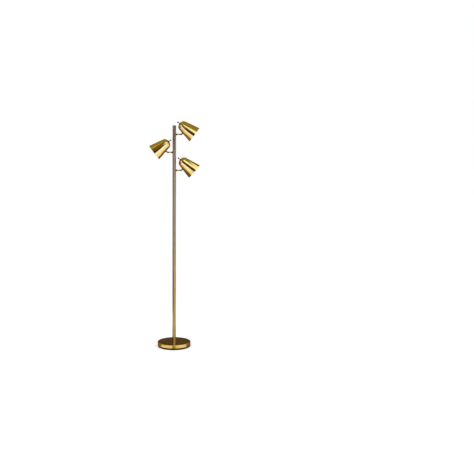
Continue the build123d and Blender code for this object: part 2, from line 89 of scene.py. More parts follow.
def vectorCalc(tree, operation, first, second):
    return put(tree, "ShaderNodeVectorMath", {0: first, 1: second}, operation=operation).outputs


def split(tree, vector):
    return put(tree, "ShaderNodeSeparateXYZ", {0: vector}).outputs


def newGroup(name, kind, inputs, outputs):
    # a node tree with named inputs and outputs; returns it with its input sockets and its output node
    tree = bpy.data.node_groups.new(name, kind)
    for label, (socket, value) in inputs.items():
        made = tree.interface.new_socket(label, in_out="INPUT", socket_type="NodeSocket" + socket)
        if value is not None:
            made.default_value = value
    for label, socket in outputs.items():
        tree.interface.new_socket(label, in_out="OUTPUT", socket_type="NodeSocket" + socket)
    return tree, tree.nodes.new("NodeGroupInput").outputs, tree.nodes.new("NodeGroupOutput")


def useGroup(tree, group, inputs):
    return put(tree, "ShaderNodeGroup", inputs, node_tree=group).outputs


def paint(red, green, blue):
    # a colour as a paint chart gives it, 0 to 255, made linear
    def linear(value):
        share = value / 255
        return share / 12.92 if share <= 0.04045 else ((share + 0.055) / 1.055) ** 2.4
    return (linear(red), linear(green), linear(blue), 1)


def armPlace(head):
    # origin on the joint that the arm turns about, Z along the arm
    joint = joints[f"{head}_arm_turn"]
    axis = Vector(joint["axis"]).normalized()
    return Matrix.Translation(joint["pos_m"]) @ axis.to_track_quat("Z", "Y").to_matrix().to_4x4()


def shadePlace(head):
    # origin in the middle of the mouth, Z towards the closed end, X away from the knuckle
    axis = Vector(joints[f"{head}_switch_turn"]["axis"]).normalized()
    onAxis = Vector(joints[f"{head}_switch_turn"]["pos_m"])
    points = frame["nodes"][f"{head}_shade"].data.vertices
    origin = onAxis + axis * min((vertex.co - onAxis).dot(axis) for vertex in points)
    away = origin - Vector(joints[f"{head}_shade_tilt"]["pos_m"])
    away = (away - axis * away.dot(axis)).normalized()
    turn = Matrix((away, axis.cross(away), axis)).transposed()
    return Matrix.Translation(origin) @ turn.to_4x4()


def extent(node, place):
    # a CAD node's lowest and highest level along a place's Z axis and largest radius about it, in millimetres
    inverse = place.inverted()
    points = [inverse @ vertex.co for vertex in frame["nodes"][node].data.vertices]
    levels = [point.z / mm for point in points]
    return min(levels), max(levels), max(point.xy.length / mm for point in points)


shadePlaces = {head: shadePlace(head) for head in heads}
armPlaces = {head: armPlace(head) for head in heads}
standPlace = Matrix.Identity(4)


def newEffect(name, values, results=("Mask",)):
    # a shader group that takes a vector and named numbers, and puts out named masks or heights
    inputs = {"Vector": ("Vector", None), **{label: ("Float", value) for label, value in values.items()}}
    return newGroup(name, "ShaderNodeTree", inputs, {label: "Float" for label in results})


def makeSpunGrain():
    # fine turning marks about the vector's Z axis: rings on a flat face, and hoops on a wall or a cone
    tree, given, out = newEffect("spunGrain", {"Marks": 900.0, "Breaks": 3.0}, ("Height", "Tone"))
    parts = split(tree, given["Vector"])
    radius = calc(tree, "SQRT", calc(tree, "ADD", *[calc(tree, "POWER", parts[axis], 2.0) for axis in "XY"]))
    safeRadius = calc(tree, "MAXIMUM", radius, 0.0005)  # keeps the division below off zero
    level = calc(tree, "ADD", parts["Z"], calc(tree, "MULTIPLY", radius, 1.31))  # flat faces have marks too
    marks = {"Z": calc(tree, "MULTIPLY", level, given["Marks"])}
    for axis in "XY":
        marks[axis] = calc(tree, "MULTIPLY", calc(tree, "DIVIDE", parts[axis], safeRadius), given["Breaks"])
    fine = put(tree, "ShaderNodeCombineXYZ", marks).outputs[0]
    broad = vectorCalc(tree, "MULTIPLY", fine, (0.5, 0.5, 0.06))["Vector"]
    wire(tree, out, {"Height": noise(tree, fine, 1.0, 3.0, 0.65), "Tone": noise(tree, broad, 1.0, 2.0)})
    return tree


def makeHandlingMarks():
    # soft smudges and cloudy patches, as a mask from 0 to 1
    tree, given, out = newEffect("handlingMarks", {"Patch Size": 0.03})
    scale = calc(tree, "DIVIDE", 1.0, given["Patch Size"])
    cloud = noise(tree, given["Vector"], scale, 4.0, 0.55, 0.4)
    wire(tree, out, {"Mask": mapRange(tree, cloud, 0.42, 0.68, smooth=True)})
    return tree


def makeEdgeWear():
    # where an edge has rubbed bright: found by how far a rounded normal leaves the real one
    tree, given, out = newEffect("edgeWear", {"Width": 0.0006, "Breakup": 900.0})
    rounded = put(tree, "ShaderNodeBevel", {"Radius": given["Width"]}, samples=4).outputs[0]
    plain = put(tree, "ShaderNodeNewGeometry").outputs["Normal"]
    edge = mapRange(tree, vectorCalc(tree, "DOT_PRODUCT", rounded, plain)["Value"], 0.99, 0.86, smooth=True)
    broken = mapRange(tree, noise(tree, given["Vector"], given["Breakup"], 3.0), 0.35, 0.6)
    wire(tree, out, {"Mask": calc(tree, "MULTIPLY", edge, broken)})
    return tree


def makeDustFilm():
    # a thin film on faces that look up
    tree, given, out = newEffect("dustFilm", {"Amount": 0.3, "Speck Size": 0.0008})
    normal = put(tree, "ShaderNodeNewGeometry").outputs["Normal"]
    upward = mapRange(tree, split(tree, normal)["Z"], 0.3, 1.0)
    scale = calc(tree, "DIVIDE", 1.0, given["Speck Size"])
    film = mapRange(tree, noise(tree, given["Vector"], scale, 5.0, 0.7), 0.4, 0.75)
    film = calc(tree, "MULTIPLY", upward, film)
    wire(tree, out, {"Mask": calc(tree, "MULTIPLY", film, given["Amount"])})
    return tree


spunGrain = makeSpunGrain()
handlingMarks = makeHandlingMarks()
edgeWear = makeEdgeWear()
dustFilm = makeDustFilm()
print("shader groups made")


def newMaterial(name, place=None, **principled):
    # a bare material whose pattern is centred on a place; returns it with its tree, vector and shader
    material = bpy.data.materials.new(name)
    material.use_nodes = True
    tree = material.node_tree
    shader = tree.nodes["Principled BSDF"]
    wire(tree, shader, {key.replace("_", " "): value for key, value in principled.items()})
    vector = put(tree, "ShaderNodeTexCoord").outputs["Object"]
    if place is not None:
        centred = {"Vector": vector, "Location": place.translation, "Rotation": place.to_euler()}
        vector = put(tree, "ShaderNodeMapping", centred, vector_type="TEXTURE").outputs[0]
    return material, tree, vector, shader


def blendColours(tree, mask, first, second, kind="MIX"):
    inputs = {"Factor": mask, 6: first, 7: second}  # 6 and 7 are the two colours
    return put(tree, "ShaderNodeMix", inputs, data_type="RGBA", blend_type=kind).outputs[2]


def spread(tree, value, low, high):
    # stretches a noise's middle half from low to high
    return mapRange(tree, value, 0.25, 0.75, low, high)


def bump(tree, height, strength, distance):
    inputs = {"Height": height, "Strength": strength, "Distance": distance}
    return put(tree, "ShaderNodeBump", inputs).outputs[0]


# In the looks, patch, depth, grain and edge are in millimetres, marks are counted per metre, bite is the
# strength of the bump, and what dulls a surface is added to its roughness, which goes from smooth to rough.
turnedDefaults = {
    "breaks": 3.0, "depth": 0.02, "tarnish": 0.25, "patch": 35, "dust": 0.1,
    "lacquer": 0.0, "lacquerRough": 0.08, "smudgeDulls": 0.05, "dustDulls": 0.5,
}
shadeLook = {
    "dark": paint(226, 184, 108), "light": paint(240, 205, 134), "tarnished": paint(208, 162, 84),
    "marks": 1500.0, "breaks": 2.0, "bite": 0.04, "smooth": 0.05, "rough": 0.1,
    "tarnish": 0.2, "patch": 45, "dust": 0.05,
}
baseLook = {
    "dark": paint(204, 166, 84), "light": paint(230, 198, 112), "tarnished": paint(176, 132, 70),
    "marks": 1300.0, "breaks": 1.6, "bite": 0.14, "smooth": 0.08, "rough": 0.16, "dust": 0.05, "lacquer": 0.2,
}
poleLook = {
    "dark": paint(160, 133, 101), "light": paint(171, 147, 114), "tarnished": paint(132, 108, 80),
    "marks": 900.0, "breaks": 2.0, "bite": 0.02, "smooth": 0.08, "rough": 0.13,
    "tarnish": 0.1, "patch": 60, "dust": 0.0,
}
armLook = {
    "dark": paint(176, 152, 112), "light": paint(206, 184, 144), "tarnished": paint(120, 98, 66),
    "marks": 1800.0, "bite": 0.3, "smooth": 0.18, "rough": 0.32, "tarnish": 0.4, "patch": 8,
}
steelLook = {
    "dark": paint(150, 146, 140), "light": paint(196, 192, 184), "tarnished": paint(110, 104, 92),
    "marks": 2200.0, "breaks": 4.0, "bite": 0.3, "smooth": 0.25, "rough": 0.4, "tarnish": 0.4, "patch": 6,
}
poleTones = {
    "foot": paint(255, 249, 200), "middle": paint(247, 243, 222), "top": paint(238, 228, 216),
    "lowerBlend": (0.15, 0.95), "upperBlend": (0.9, 1.5),  # metres above the floor
}
metalDust = paint(196, 190, 178)


def turnedMetal(name, place, look, tint=None):
    # polished metal with turning marks, smudges and a little dust
    look = {**turnedDefaults, **look}
    material, tree, vector, shader = newMaterial(
        name, place, Metallic=1.0, Coat_Weight=look["lacquer"], Coat_Roughness=look["lacquerRough"])
    grain = useGroup(tree, spunGrain, {"Vector": vector, "Marks": look["marks"], "Breaks": look["breaks"]})
    smudge = useGroup(tree, handlingMarks, {"Vector": vector, "Patch Size": look["patch"] * mm})["Mask"]
    dust = useGroup(tree, dustFilm, {"Vector": vector, "Amount": look["dust"]})["Mask"]
    colour = blendColours(tree, spread(tree, grain["Tone"], 0.0, 1.0), look["dark"], look["light"])
    if tint is not None:
        colour = tint(tree, vector, colour)
    colour = blendColours(tree, calc(tree, "MULTIPLY", smudge, look["tarnish"]), colour, look["tarnished"])
    smudged = calc(tree, "MULTIPLY", smudge, look["smudgeDulls"])
    dulled = calc(tree, "ADD", smudged, calc(tree, "MULTIPLY", dust, look["dustDulls"]))
    wire(tree, shader, {
        "Base Color": blendColours(tree, dust, colour, metalDust),
        "Roughness": calc(tree, "ADD", spread(tree, grain["Height"], look["smooth"], look["rough"]), dulled),
        "Normal": bump(tree, grain["Height"], look["bite"], look["depth"] * mm)})
    return material


def bronzeToGold(tree, vector, colour):
    # tints the pole from gold at its foot to a grey bronze at its top
    level = split(tree, vector)["Z"]
    lower = mapRange(tree, level, *poleTones["lowerBlend"], smooth=True)
    upper = mapRange(tree, level, *poleTones["upperBlend"], smooth=True)
    tint = blendColours(tree, lower, poleTones["foot"], poleTones["middle"])
    tint = blendColours(tree, upper, tint, poleTones["top"])
    return blendColours(tree, 1.0, colour, tint, "MULTIPLY")


rubbedDefaults = {
    "patch": 6, "gritMarks": 2600.0, "smooth": 0.26, "rough": 0.4, "smudgeDulls": 0.08,
    "bite": 0.12, "depth": 0.05}
bronzeLook = {
    "base": paint(74, 56, 38), "cloud": paint(92, 72, 48), "bright": paint(186, 148, 92),
    "edge": 0.35, "rub": 0.6}
knobLook = {
    "base": paint(18, 15, 14), "cloud": paint(28, 24, 22), "bright": paint(96, 84, 70),
    "edge": 0.3, "rub": 0.5}
silverLook = {
    "base": paint(206, 204, 200), "cloud": paint(222, 220, 214), "bright": paint(240, 238, 232),
    "edge": 0.3, "rub": 0.2}


def rubbedMetal(name, look):
    # clouded metal, rubbed bright along its edges
    look = {**rubbedDefaults, **look}
    material, tree, vector, shader = newMaterial(name, Metallic=1.0)
    smudge = useGroup(tree, handlingMarks, {"Vector": vector, "Patch Size": look["patch"] * mm})["Mask"]
    worn = useGroup(tree, edgeWear, {"Vector": vector, "Width": look["edge"] * mm})["Mask"]
    grit = noise(tree, vector, look["gritMarks"], 4.0)
    colour = blendColours(tree, smudge, look["base"], look["cloud"])
    roughness = spread(tree, grit, look["smooth"], look["rough"])
    wire(tree, shader, {
        "Base Color": blendColours(tree, calc(tree, "MULTIPLY", worn, look["rub"]), colour, look["bright"]),
        "Roughness": calc(tree, "ADD", roughness, calc(tree, "MULTIPLY", smudge, look["smudgeDulls"])),
        "Normal": bump(tree, grit, look["bite"], look["depth"] * mm)})
    return material


matteDefaults = {"patch": 20, "cloud": 0.3, "dust": 0.1, "cloudDulls": 0.06}
enamelLook = {
    "dark": paint(236, 233, 226), "light": paint(247, 245, 240),
    "grain": 0.9, "smooth": 0.3, "rough": 0.42, "bite": 0.01, "cloud": 0.2, "dust": 0.0}
blackEnamelAndShadeLook = {
    "dark": paint(10, 7, 4), "light": paint(20, 15, 10),
    "grain": 1.2, "smooth": 0.28, "rough": 0.42, "bite": 0.08, "dust": 0.05}
feltLook = {
    "dark": paint(16, 15, 15), "light": paint(48, 45, 42),
    "grain": 0.5, "smooth": 0.9, "rough": 1.0, "bite": 0.9}
ironLook = {
    "dark": paint(52, 50, 48), "light": paint(92, 88, 84),
    "grain": 1.4, "smooth": 0.55, "rough": 0.75, "bite": 0.6}
holderLook = {
    "dark": paint(226, 222, 212), "light": paint(240, 237, 228),
    "grain": 0.6, "smooth": 0.32, "rough": 0.45, "bite": 0.06, "cloud": 0.25, "dust": 0.0}
bushLook = {
    "dark": paint(22, 20, 18), "light": paint(38, 35, 31),
    "grain": 0.35, "smooth": 0.45, "rough": 0.6, "bite": 0.15}
matteDust = paint(190, 184, 172)


def grainyMatte(name, look, **principled):
    # plastic, enamel, felt or iron: a mottled colour and a fine bump
    look = {**matteDefaults, **look}
    material, tree, vector, shader = newMaterial(name, **principled)
    grain = noise(tree, vector, 1 / (look["grain"] * mm), 5.0, 0.6)
    cloud = useGroup(tree, handlingMarks, {"Vector": vector, "Patch Size": look["patch"] * mm})["Mask"]
    dust = useGroup(tree, dustFilm, {"Vector": vector, "Amount": look["dust"]})["Mask"]
    colour = blendColours(tree, grain, look["dark"], look["light"])
    colour = blendColours(tree, calc(tree, "MULTIPLY", cloud, look["cloud"]), colour, look["light"])
    roughness = spread(tree, grain, look["smooth"], look["rough"])
    wire(tree, shader, {
        "Base Color": blendColours(tree, dust, colour, matteDust),
        "Roughness": calc(tree, "ADD", roughness, calc(tree, "MULTIPLY", cloud, look["cloudDulls"])),
        "Normal": bump(tree, grain, look["bite"], look["grain"] * mm / 2)})
    return material


lensLook = {
    "shadow": paint(232, 228, 218), "glass": paint(250, 247, 240),
    "warm": paint(255, 232, 190), "white": paint(255, 244, 222),
    "glow": 8.0, "rough": 0.45, "frostMarks": 1400.0, "bite": 0.3, "depth": 0.1}


def frostedLens(name, look):
    # the bulb's lit face, its glow mottled by the frost
    material, tree, vector, shader = newMaterial(
        name, Roughness=look["rough"], Emission_Strength=look["glow"])
    frost = noise(tree, vector, look["frostMarks"], 4.0)
    wire(tree, shader, {
        "Base Color": blendColours(tree, frost, look["shadow"], look["glass"]),
        "Emission Color": blendColours(tree, frost, look["warm"], look["white"]),
        "Normal": bump(tree, frost, look["bite"], look["depth"] * mm)})
    return material


shadeBrass = {head: turnedMetal(f"spunBrass.{head}", shadePlaces[head], shadeLook) for head in heads}
armBrass = {head: turnedMetal(f"armBrass.{head}", armPlaces[head], armLook) for head in heads}
baseBrass = turnedMetal("baseBrass", standPlace, baseLook)
poleBronze = turnedMetal("poleBronze", standPlace, poleLook, bronzeToGold)
steel = turnedMetal("zincSteel", standPlace, steelLook)
bronze = rubbedMetal("darkBronze", bronzeLook)
knobBronze = rubbedMetal("knobBronze", knobLook)
bulbSilver = rubbedMetal("bulbSilver", silverLook)
whiteEnamel = grainyMatte("whiteEnamel", enamelLook, Coat_Weight=0.2)
# black enamel for the pan; the cover's foot band uses it too, as painted shade
blackEnamelAndFootShade = grainyMatte("blackEnamelAndFootShade", blackEnamelAndShadeLook, Specular_IOR_Level=0.08)
felt = grainyMatte("padFelt", feltLook, Sheen_Weight=0.3)
iron = grainyMatte("castIron", ironLook, Metallic=0.6)
holderPlastic = grainyMatte("holderMoulding", holderLook)
bushPlastic = grainyMatte("bushMoulding", bushLook)
lensGlass = frostedLens("frostedLens", lensLook)
print("materials made")

meshCare = {"weldGap": 0.002, "sliver": 0.001, "flatAngle": 0.6, "sharpAngle": 32, "bevelAngle": 35}


@contextmanager
def editing(mesh):
    # opens a mesh for a with block, and writes it back at the block's end
    work = bmesh.new()
    work.from_mesh(mesh)
    yield work
    work.to_mesh(mesh)
    work.free()


def tidyMesh(mesh):
    # welds, turns the faces outwards and smooths all but the sharp edges
    with editing(mesh) as work:
        bmesh.ops.remove_doubles(work, verts=work.verts, dist=meshCare["weldGap"] * mm)
        bmesh.ops.dissolve_degenerate(work, edges=work.edges, dist=meshCare["sliver"] * mm)
        bmesh.ops.recalc_face_normals(work, faces=work.faces)
    mesh.shade_smooth()
    mesh.set_sharp_from_angle(angle=radians(meshCare["sharpAngle"]))
    mesh.update()


def newPiece(name, mesh, material=None):
    # a piece stands at the origin, with its place in its mesh
    piece = bpy.data.objects.new(name, mesh)
    bpy.context.scene.collection.objects.link(piece)
    if material is not None:
        mesh.materials.clear()
        mesh.materials.append(material)
    return piece


def finishPiece(piece, body, slotName, *nodes):
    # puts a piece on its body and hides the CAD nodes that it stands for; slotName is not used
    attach(piece, body)
    if nodes:
        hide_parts(*nodes)


def roundCorners(corners, steps):
    # corners are (radius, level, rounding) in millimetres; returns points in metres
    points = []
    for index, (radius, level, rounding) in enumerate(corners):
        here = Vector((radius, level))
        if rounding == 0:
            points.append(here * mm)
            continue
        before = (Vector(corners[index - 1][:2]) - here).normalized()
        after = (Vector(corners[(index + 1) % len(corners)][:2]) - here).normalized()
        half = acos(max(-1, min(1, before.dot(after)))) / 2
        centre = here + (before + after).normalized() * (rounding / sin(half))
        start = here + before * (rounding / tan(half)) - centre
        end = here + after * (rounding / tan(half)) - centre
        sweep = start.angle_signed(end)
        for step in range(steps + 1):
            turn = -sweep * step / steps
            x = start.x * cos(turn) - start.y * sin(turn)
            y = start.x * sin(turn) + start.y * cos(turn)
            points.append((centre + Vector((x, y))) * mm)
    return points


def turnedPiece(name, corners, place, material, closed=False, facets=128, steps=7):
    # turns an outline about a place's Z axis; a point on the axis makes one corner and not a ring
    mesh = bpy.data.meshes.new(name)
    angles = [2 * pi * step / facets for step in range(facets)]
    with editing(mesh) as work:
        rings = []
        for radius, level in roundCorners(corners, steps):
            turns = angles if radius > 1e-7 else angles[:1]
            rings.append([work.verts.new((radius * cos(turn), radius * sin(turn), level)) for turn in turns])
        pairs = list(zip(rings, rings[1:]))
        if closed:
            pairs.append((rings[-1], rings[0]))
        for first, second in pairs:
            for step in range(facets):
                after = (step + 1) % facets
                corner = [first[step % len(first)], first[after % len(first)]]
                corner += [second[after % len(second)], second[step % len(second)]]
                corner = list(dict.fromkeys(corner))
                if len(corner) > 2:
                    work.faces.new(corner)
    mesh.transform(place)
    tidyMesh(mesh)
    return newPiece(name, mesh, material)


def easedCopy(name, node, body, slotName, material, easing):
    # a welded copy of a CAD node whose shape is right, with its hard edges eased
    mesh = frame["nodes"][node].data.copy()
    mesh.name = name
    with editing(mesh) as work:
        bmesh.ops.remove_doubles(work, verts=work.verts, dist=meshCare["weldGap"] * mm)
        flat = radians(meshCare["flatAngle"])
        bmesh.ops.dissolve_limit(work, angle_limit=flat, verts=work.verts, edges=work.edges)
    tidyMesh(mesh)
    piece = newPiece(name, mesh, material)
    if easing:
        ease = piece.modifiers.new("easedEdges", "BEVEL")
        ease.width = easing * mm
        ease.segments = 2
        ease.limit_method = "ANGLE"
        ease.angle_limit = radians(meshCare["bevelAngle"])
        ease.harden_normals = True
        ease.use_clamp_overlap = True
    finishPiece(piece, body, slotName, node)


def growPiece(name, tree, sizes, settings, place):
    # runs a Geometry Nodes tree with its named inputs, and keeps the result as a plain mesh in a place
    seed = bpy.data.objects.new(name, bpy.data.meshes.new(name))
    bpy.context.scene.collection.objects.link(seed)
    modifier = seed.modifiers.new(name, "NODES")
    modifier.node_group = tree
    values = {**settings, **{key: size * mm for key, size in sizes.items()}}
    for item in tree.interface.items_tree:
        if item.in_out == "INPUT":
            modifier[item.identifier] = values[item.name]
    bpy.context.view_layer.update()
    mesh = bpy.data.meshes.new_from_object(seed.evaluated_get(bpy.context.evaluated_depsgraph_get()))
    seed.modifiers.remove(modifier)
    bpy.data.objects.remove(seed)
    mesh.name = name
    mesh.transform(place)
    with editing(mesh) as work:
        bmesh.ops.recalc_face_normals(work, faces=work.faces)
    return newPiece(name, mesh)


def numberedValue(tree, kind, values):
    # gives each numbered point its own value; a vector's values are three each
    switch = put(tree, "GeometryNodeIndexSwitch", data_type=kind)
    while len(switch.index_switch_items) < len(values):
        switch.index_switch_items.new()
    inputs = {"Index": put(tree, "GeometryNodeInputIndex").outputs[0]}
    for number, value in enumerate(values):
        if kind == "VECTOR":
            value = put(tree, "ShaderNodeCombineXYZ", dict(zip("XYZ", value))).outputs[0]
        inputs[number + 1] = value
    wire(tree, switch, inputs)
    return switch.outputs[0]


outline = {"roundingPoints": 9, "weldGap": 0.004}


def turnOutline(tree, corners, roundings, segments):
    # an outline of (radius, level) corners, each rounded, turned about Z
    carrier = {"Resolution": segments, "Radius": mm}
    ring = put(tree, "GeometryNodeCurvePrimitiveCircle", carrier, mode="RADIUS")
    ring = put(tree, "GeometryNodeSetCurveNormal", {"Curve": ring.outputs[0]}, mode="Z_UP")
    line = put(tree, "GeometryNodeMeshLine", {"Count": len(corners)})
    # the profile's X is measured from the small ring that carries it, and its Y points down
    places = [(calc(tree, "SUBTRACT", radius, mm), calc(tree, "MULTIPLY", level, -1.0), 0.0)
        for radius, level in corners]
    position = numberedValue(tree, "VECTOR", places)
    line = put(tree, "GeometryNodeSetPosition", {"Geometry": line.outputs[0], "Position": position})
    line = put(tree, "GeometryNodeMeshToCurve", {"Mesh": line.outputs[0]})
    radii = numberedValue(tree, "FLOAT", roundings)
    rounding = {"Radius": radii, "Count": outline["roundingPoints"], "Limit Radius": True}
    line = put(tree, "GeometryNodeFilletCurve", {"Curve": line.outputs[0], **rounding}, mode="POLY")
    turned = {"Curve": ring.outputs[0], "Profile Curve": line.outputs[0]}
    return put(tree, "GeometryNodeCurveToMesh", turned).outputs[0]


def weldAndSmooth(tree, geometry):
    inputs = {"Geometry": geometry, "Distance": outline["weldGap"] * mm}
    weld = put(tree, "GeometryNodeMergeByDistance", inputs)
    smooth = put(tree, "GeometryNodeSetShadeSmooth", {"Geometry": weld.outputs[0]})
    return put(tree, "GeometryNodeRealizeInstances", {"Geometry": smooth.outputs[0]}).outputs[0]


def makeSpunShadeTree():
    # the outside and the inside are turned apart, so that each has its own material, and then welded
    sizes = ["Mouth Radius", "Shoulder Radius", "Shoulder Level", "Crown Radius", "Length", "Lip",
        "Inside Mouth Radius", "Inside Shoulder Radius", "Inside Shoulder Level", "Inside Crown Radius",
        "Inside Length", "Shoulder Rounding", "Crown Rounding"]
    inputs = {size: ("Float", 0.01) for size in sizes}
    inputs.update({"Segments": ("Int", 160), "Outside": ("Material", None), "Inside": ("Material", None)})
    tree, given, out = newGroup("spunShade", "GeometryNodeTree", inputs, {"Geometry": "Geometry"})
    outside = [
        (0.0, given["Length"]), (given["Crown Radius"], given["Length"]),
        (given["Shoulder Radius"], given["Shoulder Level"]), (given["Mouth Radius"], 0.0),
        (given["Inside Mouth Radius"], 0.0)]
    inside = [
        (given["Inside Mouth Radius"], 0.0),
        (given["Inside Shoulder Radius"], given["Inside Shoulder Level"]),
        (given["Inside Crown Radius"], given["Inside Length"]), (0.0, given["Inside Length"])]
    outsideRoundings = [0.0, given["Crown Rounding"], given["Shoulder Rounding"], given["Lip"], 0.0]
    insideRoundings = [0.0, given["Shoulder Rounding"], given["Crown Rounding"], 0.0]
    join = put(tree, "GeometryNodeJoinGeometry")
    walls = (("Outside", outside, outsideRoundings), ("Inside", inside, insideRoundings))
    for material, corners, roundings in walls:
        wall = turnOutline(tree, corners, roundings, given["Segments"])
        wall = put(tree, "GeometryNodeSetMaterial", {"Geometry": wall, "Material": given[material]})
        wire(tree, join, {0: wall.outputs[0]})
    wire(tree, out, {0: weldAndSmooth(tree, join.outputs[0])})
    return tree


def makeFlutedTree():
    # a turned barrel whose side is scooped into flutes that fade out near its ends
    sizes = ["Radius", "Foot", "Top", "Edge", "Flute Depth", "Flute Fade"]
    inputs = {size: ("Float", 0.01) for size in sizes}
    inputs.update({"Flutes": ("Int", 8), "Segments": ("Int", 128), "Material": ("Material", None)})
    tree, given, out = newGroup("flutedBarrel", "GeometryNodeTree", inputs, {"Geometry": "Geometry"})
    rows = 12
    levels = [given["Top"]]
    levels += [mapRange(tree, row / rows, 0.0, 1.0, given["Top"], given["Foot"]) for row in range(1, rows)]
    levels.append(given["Foot"])
    corners = [(0.0, given["Top"]), *[(given["Radius"], level) for level in levels], (0.0, given["Foot"])]
    roundings = [0.0] * len(corners)
    roundings[1] = roundings[-2] = given["Edge"]
    barrel = turnOutline(tree, corners, roundings, given["Segments"])
    parts = split(tree, put(tree, "GeometryNodeInputPosition").outputs[0])
    angle = calc(tree, "MULTIPLY", calc(tree, "ARCTAN2", parts["Y"], parts["X"]), given["Flutes"])
    wave = calc(tree, "ADD", 0.5, calc(tree, "MULTIPLY", 0.5, calc(tree, "COSINE", angle)))
    fromFoot = calc(tree, "SUBTRACT", parts["Z"], given["Foot"])
    fromTop = calc(tree, "SUBTRACT", given["Top"], parts["Z"])
    fade = mapRange(tree, calc(tree, "MINIMUM", fromFoot, fromTop), 0.0, given["Flute Fade"], smooth=True)
    scoop = calc(tree, "MULTIPLY", calc(tree, "POWER", wave, 2.2), fade)  # the power keeps the ridges broad
    depth = calc(tree, "DIVIDE", calc(tree, "MULTIPLY", scoop, given["Flute Depth"]), given["Radius"])
    inward = calc(tree, "SUBTRACT", 1.0, depth)
    scooped = {axis: calc(tree, "MULTIPLY", parts[axis], inward) for axis in "XY"}
    position = put(tree, "ShaderNodeCombineXYZ", {**scooped, "Z": parts["Z"]}).outputs[0]
    barrel = put(tree, "GeometryNodeSetPosition", {"Geometry": barrel, "Position": position}).outputs[0]
    finished = {"Geometry": weldAndSmooth(tree, barrel), "Material": given["Material"]}
    wire(tree, out, {0: put(tree, "GeometryNodeSetMaterial", finished).outputs[0]})
    return tree


spunShadeTree = makeSpunShadeTree()
flutedTree = makeFlutedTree()
print("geometry trees made")

pad = {"footRound": 1.2, "topRound": 0.4}
pan = {"sheet": 1.5, "flangeReach": 1.6, "footRound": 1.0, "flangeRound": 0.5, "ease": 0.4}
cover = {
    "wall": 1.0, "hole": 6.25, "edgeRound": 4.0, "innerRound": 3.0, "footRound": 0.3,
    "footShadeBand": 5.0,  # height of the black band round its foot: painted shade where the base meets the floor, beside the black pan
    "facets": 256, "steps": 10,
}
bush = {"easing": 0.25}


def sizesOf(node):
    # radius, lowest level and highest level of a round node on the pole's axis, in millimetres
    low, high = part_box(node)
    return high.x / mm, low.z / mm, high.z / mm


def makePad():
    radius, foot, top = sizesOf("base_pad")
    piece = turnedPiece("floorPad", [
        (0, foot, 0), (radius, foot, pad["footRound"]), (radius, top, pad["topRound"]), (0, top, 0),
    ], standPlace, felt)
    finishPiece(piece, "stand", "pad", "base_pad")


def makePan():
    # a pressed dish with a flange under the cover's foot
    flange, foot, top = sizesOf("base_plate")
    wall = flange - pan["flangeReach"]
    sheet, ease = pan["sheet"], pan["ease"]
    piece = turnedPiece("basePan", [
        (0, foot, 0), (wall, foot, pan["footRound"]), (wall, top - sheet, ease),
        (flange, top - sheet, pan["flangeRound"]), (flange, top, ease), (wall - sheet, top, 0),
        (wall - sheet, foot + sheet, 0), (0, foot + sheet, 0),
    ], standPlace, blackEnamelAndFootShade)
    finishPiece(piece, "stand", "black_enamel", "base_plate")


def makeCover():
    radius, foot, top = sizesOf("base_cover")
    inside, under, shadeBandTop = radius - cover["wall"], top - cover["wall"], foot + cover["footShadeBand"]
    piece = turnedPiece("baseCover", [
        (cover["hole"], top, 0), (radius, top, cover["edgeRound"]), (radius, shadeBandTop, 0),
        (radius, foot, cover["footRound"]), (inside, foot, cover["footRound"]),
        (inside, under, cover["innerRound"]), (cover["hole"], under, 0),
    ], standPlace, baseBrass, closed=True, facets=cover["facets"], steps=cover["steps"])
    # faces below the band take the black enamel: painted shade round the cover's foot, standing for the dark
    # line where the base meets the floor
    piece.data.materials.append(blackEnamelAndFootShade)
    for face in piece.data.polygons:
        if face.center.z < shadeBandTop * mm:
            face.material_index = 1
    finishPiece(piece, "stand", "base_brass", "base_cover")


makePad()
makePan()
makeCover()
easedCopy("leadBush", "cord_bush", "stand", "black_plastic", bushPlastic, bush["easing"])
print("base made")

pole = {
    "sections": ["pole_lower", "pole_middle_lower", "pole_middle_upper", "pole_upper"],
    "wall": 1.0, "bevel": 0.35, "bevelRound": 0.15, "facets": 96,
}
cap = {"rim": 2.5, "plugInset": 1.0, "topRound": 1.1, "rimRound": 0.15, "plugRound": 0.5}
collars = {"easing": 0.15}


def makePoleSection(node):
    # a length of tube; its bevels leave a fine groove where it meets the next one
    radius, foot, top = sizesOf(node)
    inside, bevel, ease = radius - pole["wall"], pole["bevel"], pole["bevelRound"]
    piece = turnedPiece(f"{node}.tube", [
        (inside, foot, 0), (radius - bevel, foot, 0), (radius, foot + bevel, ease),
        (radius, top - bevel, ease), (radius - bevel, top, 0), (inside, top, 0),
    ], standPlace, poleBronze, closed=True, facets=pole["facets"])
    finishPiece(piece, "stand", "pole_bronze", node)


def makePoleCap():
    radius, foot, top = sizesOf("pole_cap")
    seat, plug = top - cap["rim"], radius - cap["plugInset"]
    piece = turnedPiece("poleCap", [
        (0, top, 0), (radius, top, cap["topRound"]), (radius, seat, cap["rimRound"]), (plug, seat, 0),
        (plug, foot, cap["plugRound"]), (0, foot, 0),
    ], standPlace, bronze, facets=pole["facets"])
    finishPiece(piece, "stand", "dark_bronze", "pole_cap")


for node in pole["sections"]:
    makePoleSection(node)
makePoleCap()
easedCopy("armCollars", "arm_collars", "stand", "dark_bronze", bronze, collars["easing"])
print("pole made")

arm = {"outside": 4.5, "inside": 3.2, "ringLevel": 20.7, "ringWidth": 1.7, "ringRound": 0.35, "facets": 64}
knuckle = {"fork": 0.2, "screw": 0.15, "tongue": 0.15, "nut": 0.15}  # radius of their eased edges


